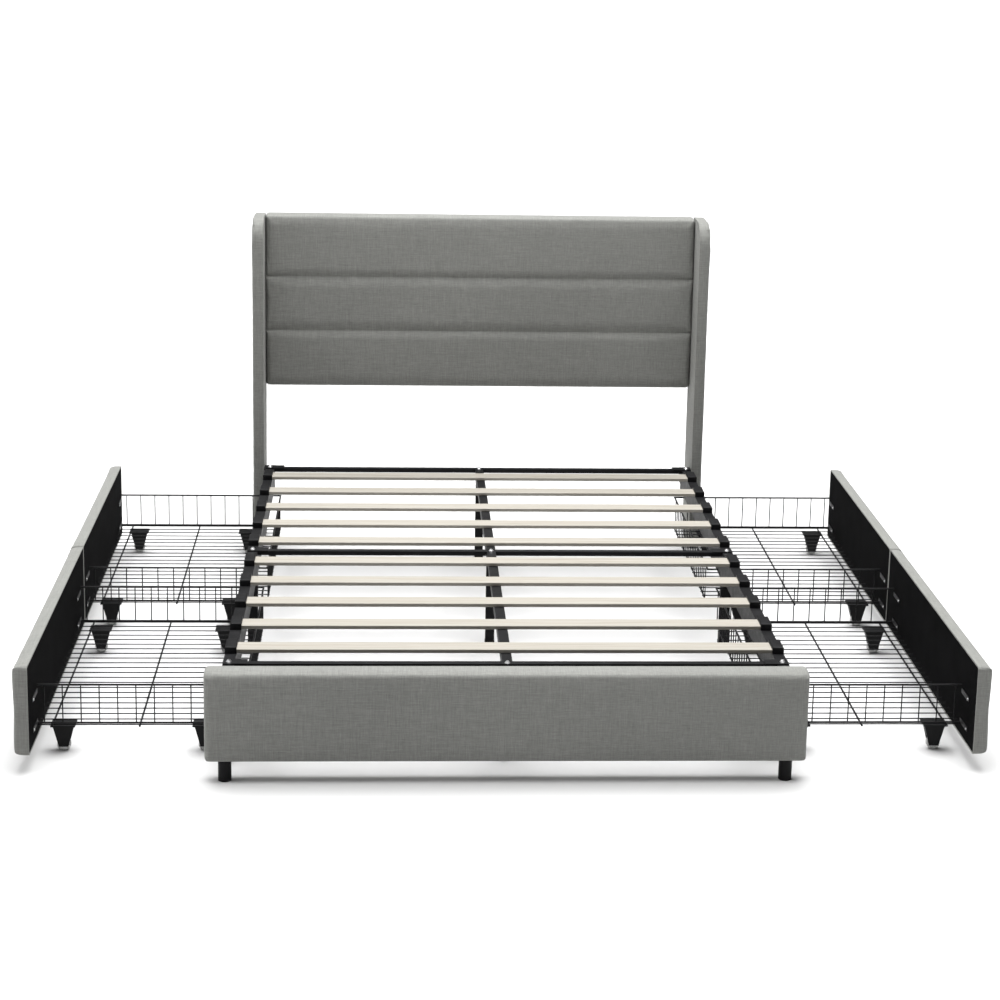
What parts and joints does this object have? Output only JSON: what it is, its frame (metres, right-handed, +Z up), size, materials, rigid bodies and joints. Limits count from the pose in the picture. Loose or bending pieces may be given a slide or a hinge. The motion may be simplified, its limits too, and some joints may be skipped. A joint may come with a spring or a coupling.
{
  "type": "platform bed with storage drawers",
  "caption": "Upholstered slatted platform bed with a winged headboard and wire-basket drawers that roll out on both sides.",
  "frame": {"origin": "on the floor under the middle of the bed, with the four drawers pulled out evenly", "axes": "+X to the right seen from the foot, +Y from the footboard to the headboard, +Z up"},
  "size_m": [2.35, 2.042, 1.064],
  "materials": {
    "upholstery": "linen-look woven cover",
    "board": "board under black lining",
    "black_steel": "satin black powder coat",
    "wire": "black coated wire",
    "black_plastic": "matt",
    "slat_wood": "planed, unvarnished",
    "zinc": "zinc plated",
    "wheel": "semi-clear"
  },
  "bodies": {
    "bed_frame": {"headboard_board": "board", "headboard_cushion": "upholstery", "wing_board_left": "board", "wing_board_right": "board", "wing_cover_left": "upholstery", "wing_cover_right": "upholstery", "footboard_board": "board", "footboard_cover": "upholstery", "footboard_feet": "black_plastic", "side_rail_left": "black_steel", "side_rail_right": "black_steel", "crossbar_foot": "black_steel", "crossbar_middle": "black_steel", "crossbar_head": "black_steel", "centre_beam": "black_steel", "crossbar_plates": "black_steel", "frame_bolts": "zinc", "rail_end_fittings": "black_steel", "side_legs": "black_steel", "centre_legs": "black_steel", "leg_glides": "black_plastic", "slats_foot": "slat_wood", "slats_head": "slat_wood", "slat_holders": "black_plastic"},
    "drawer_left_foot": {"drawer_board_left_foot": "board", "drawer_cover_left_foot": "upholstery", "basket_left_foot": "wire", "basket_screws_left_foot": "zinc", "casters_left_foot": "black_plastic"},
    "wheel_left_foot_1": {"wheel_left_foot_1": "wheel"},
    "wheel_left_foot_2": {"wheel_left_foot_2": "wheel"},
    "wheel_left_foot_3": {"wheel_left_foot_3": "wheel"},
    "wheel_left_foot_4": {"wheel_left_foot_4": "wheel"},
    "drawer_left_head": {"drawer_board_left_head": "board", "drawer_cover_left_head": "upholstery", "basket_left_head": "wire", "basket_screws_left_head": "zinc", "casters_left_head": "black_plastic"},
    "wheel_left_head_1": {"wheel_left_head_1": "wheel"},
    "wheel_left_head_2": {"wheel_left_head_2": "wheel"},
    "wheel_left_head_3": {"wheel_left_head_3": "wheel"},
    "wheel_left_head_4": {"wheel_left_head_4": "wheel"},
    "drawer_right_foot": {"drawer_board_right_foot": "board", "drawer_cover_right_foot": "upholstery", "basket_right_foot": "wire", "basket_screws_right_foot": "zinc", "casters_right_foot": "black_plastic"},
    "wheel_right_foot_1": {"wheel_right_foot_1": "wheel"},
    "wheel_right_foot_2": {"wheel_right_foot_2": "wheel"},
    "wheel_right_foot_3": {"wheel_right_foot_3": "wheel"},
    "wheel_right_foot_4": {"wheel_right_foot_4": "wheel"},
    "drawer_right_head": {"drawer_board_right_head": "board", "drawer_cover_right_head": "upholstery", "basket_right_head": "wire", "basket_screws_right_head": "zinc", "casters_right_head": "black_plastic"},
    "wheel_right_head_1": {"wheel_right_head_1": "wheel"},
    "wheel_right_head_2": {"wheel_right_head_2": "wheel"},
    "wheel_right_head_3": {"wheel_right_head_3": "wheel"},
    "wheel_right_head_4": {"wheel_right_head_4": "wheel"}
  },
  "joints": [
    {"name": "slide_left_foot", "type": "slide", "parent": "bed_frame", "child": "drawer_left_foot", "axis": [-1, 0, 0], "range_m": [-0.455, 0.045]},
    {"name": "roll_left_foot_1", "type": "hinge", "parent": "drawer_left_foot", "child": "wheel_left_foot_1", "pos_m": [-1.078, -0.806, 0.017], "axis": [0, 1, 0], "continuous": true},
    {"name": "roll_left_foot_2", "type": "hinge", "parent": "drawer_left_foot", "child": "wheel_left_foot_2", "pos_m": [-1.078, -0.111, 0.017], "axis": [0, 1, 0], "continuous": true},
    {"name": "roll_left_foot_3", "type": "hinge", "parent": "drawer_left_foot", "child": "wheel_left_foot_3", "pos_m": [-0.733, -0.806, 0.017], "axis": [0, 1, 0], "continuous": true},
    {"name": "roll_left_foot_4", "type": "hinge", "parent": "drawer_left_foot", "child": "wheel_left_foot_4", "pos_m": [-0.733, -0.111, 0.017], "axis": [0, 1, 0], "continuous": true},
    {"name": "slide_left_head", "type": "slide", "parent": "bed_frame", "child": "drawer_left_head", "axis": [-1, 0, 0], "range_m": [-0.455, 0.045]},
    {"name": "roll_left_head_1", "type": "hinge", "parent": "drawer_left_head", "child": "wheel_left_head_1", "pos_m": [-1.078, 0.118, 0.017], "axis": [0, 1, 0], "continuous": true},
    {"name": "roll_left_head_2", "type": "hinge", "parent": "drawer_left_head", "child": "wheel_left_head_2", "pos_m": [-1.078, 0.813, 0.017], "axis": [0, 1, 0], "continuous": true},
    {"name": "roll_left_head_3", "type": "hinge", "parent": "drawer_left_head", "child": "wheel_left_head_3", "pos_m": [-0.733, 0.118, 0.017], "axis": [0, 1, 0], "continuous": true},
    {"name": "roll_left_head_4", "type": "hinge", "parent": "drawer_left_head", "child": "wheel_left_head_4", "pos_m": [-0.733, 0.813, 0.017], "axis": [0, 1, 0], "continuous": true},
    {"name": "slide_right_foot", "type": "slide", "parent": "bed_frame", "child": "drawer_right_foot", "axis": [1, 0, 0], "range_m": [-0.455, 0.045]},
    {"name": "roll_right_foot_1", "type": "hinge", "parent": "drawer_right_foot", "child": "wheel_right_foot_1", "pos_m": [1.078, -0.806, 0.017], "axis": [0, 1, 0], "continuous": true},
    {"name": "roll_right_foot_2", "type": "hinge", "parent": "drawer_right_foot", "child": "wheel_right_foot_2", "pos_m": [1.078, -0.111, 0.017], "axis": [0, 1, 0], "continuous": true},
    {"name": "roll_right_foot_3", "type": "hinge", "parent": "drawer_right_foot", "child": "wheel_right_foot_3", "pos_m": [0.733, -0.806, 0.017], "axis": [0, 1, 0], "continuous": true},
    {"name": "roll_right_foot_4", "type": "hinge", "parent": "drawer_right_foot", "child": "wheel_right_foot_4", "pos_m": [0.733, -0.111, 0.017], "axis": [0, 1, 0], "continuous": true},
    {"name": "slide_right_head", "type": "slide", "parent": "bed_frame", "child": "drawer_right_head", "axis": [1, 0, 0], "range_m": [-0.455, 0.045]},
    {"name": "roll_right_head_1", "type": "hinge", "parent": "drawer_right_head", "child": "wheel_right_head_1", "pos_m": [1.078, 0.118, 0.017], "axis": [0, 1, 0], "continuous": true},
    {"name": "roll_right_head_2", "type": "hinge", "parent": "drawer_right_head", "child": "wheel_right_head_2", "pos_m": [1.078, 0.813, 0.017], "axis": [0, 1, 0], "continuous": true},
    {"name": "roll_right_head_3", "type": "hinge", "parent": "drawer_right_head", "child": "wheel_right_head_3", "pos_m": [0.733, 0.118, 0.017], "axis": [0, 1, 0], "continuous": true},
    {"name": "roll_right_head_4", "type": "hinge", "parent": "drawer_right_head", "child": "wheel_right_head_4", "pos_m": [0.733, 0.813, 0.017], "axis": [0, 1, 0], "continuous": true}
  ],
  "couplings": [
    {"joint": "roll_left_foot_1", "follows": "slide_left_foot", "rad_per_m": -58.824},
    {"joint": "roll_left_foot_2", "follows": "slide_left_foot", "rad_per_m": -58.824},
    {"joint": "roll_left_foot_3", "follows": "slide_left_foot", "rad_per_m": -58.824},
    {"joint": "roll_left_foot_4", "follows": "slide_left_foot", "rad_per_m": -58.824},
    {"joint": "roll_left_head_1", "follows": "slide_left_head", "rad_per_m": -58.824},
    {"joint": "roll_left_head_2", "follows": "slide_left_head", "rad_per_m": -58.824},
    {"joint": "roll_left_head_3", "follows": "slide_left_head", "rad_per_m": -58.824},
    {"joint": "roll_left_head_4", "follows": "slide_left_head", "rad_per_m": -58.824},
    {"joint": "roll_right_foot_1", "follows": "slide_right_foot", "rad_per_m": 58.824},
    {"joint": "roll_right_foot_2", "follows": "slide_right_foot", "rad_per_m": 58.824},
    {"joint": "roll_right_foot_3", "follows": "slide_right_foot", "rad_per_m": 58.824},
    {"joint": "roll_right_foot_4", "follows": "slide_right_foot", "rad_per_m": 58.824},
    {"joint": "roll_right_head_1", "follows": "slide_right_head", "rad_per_m": 58.824},
    {"joint": "roll_right_head_2", "follows": "slide_right_head", "rad_per_m": 58.824},
    {"joint": "roll_right_head_3", "follows": "slide_right_head", "rad_per_m": 58.824},
    {"joint": "roll_right_head_4", "follows": "slide_right_head", "rad_per_m": 58.824}
  ]
}
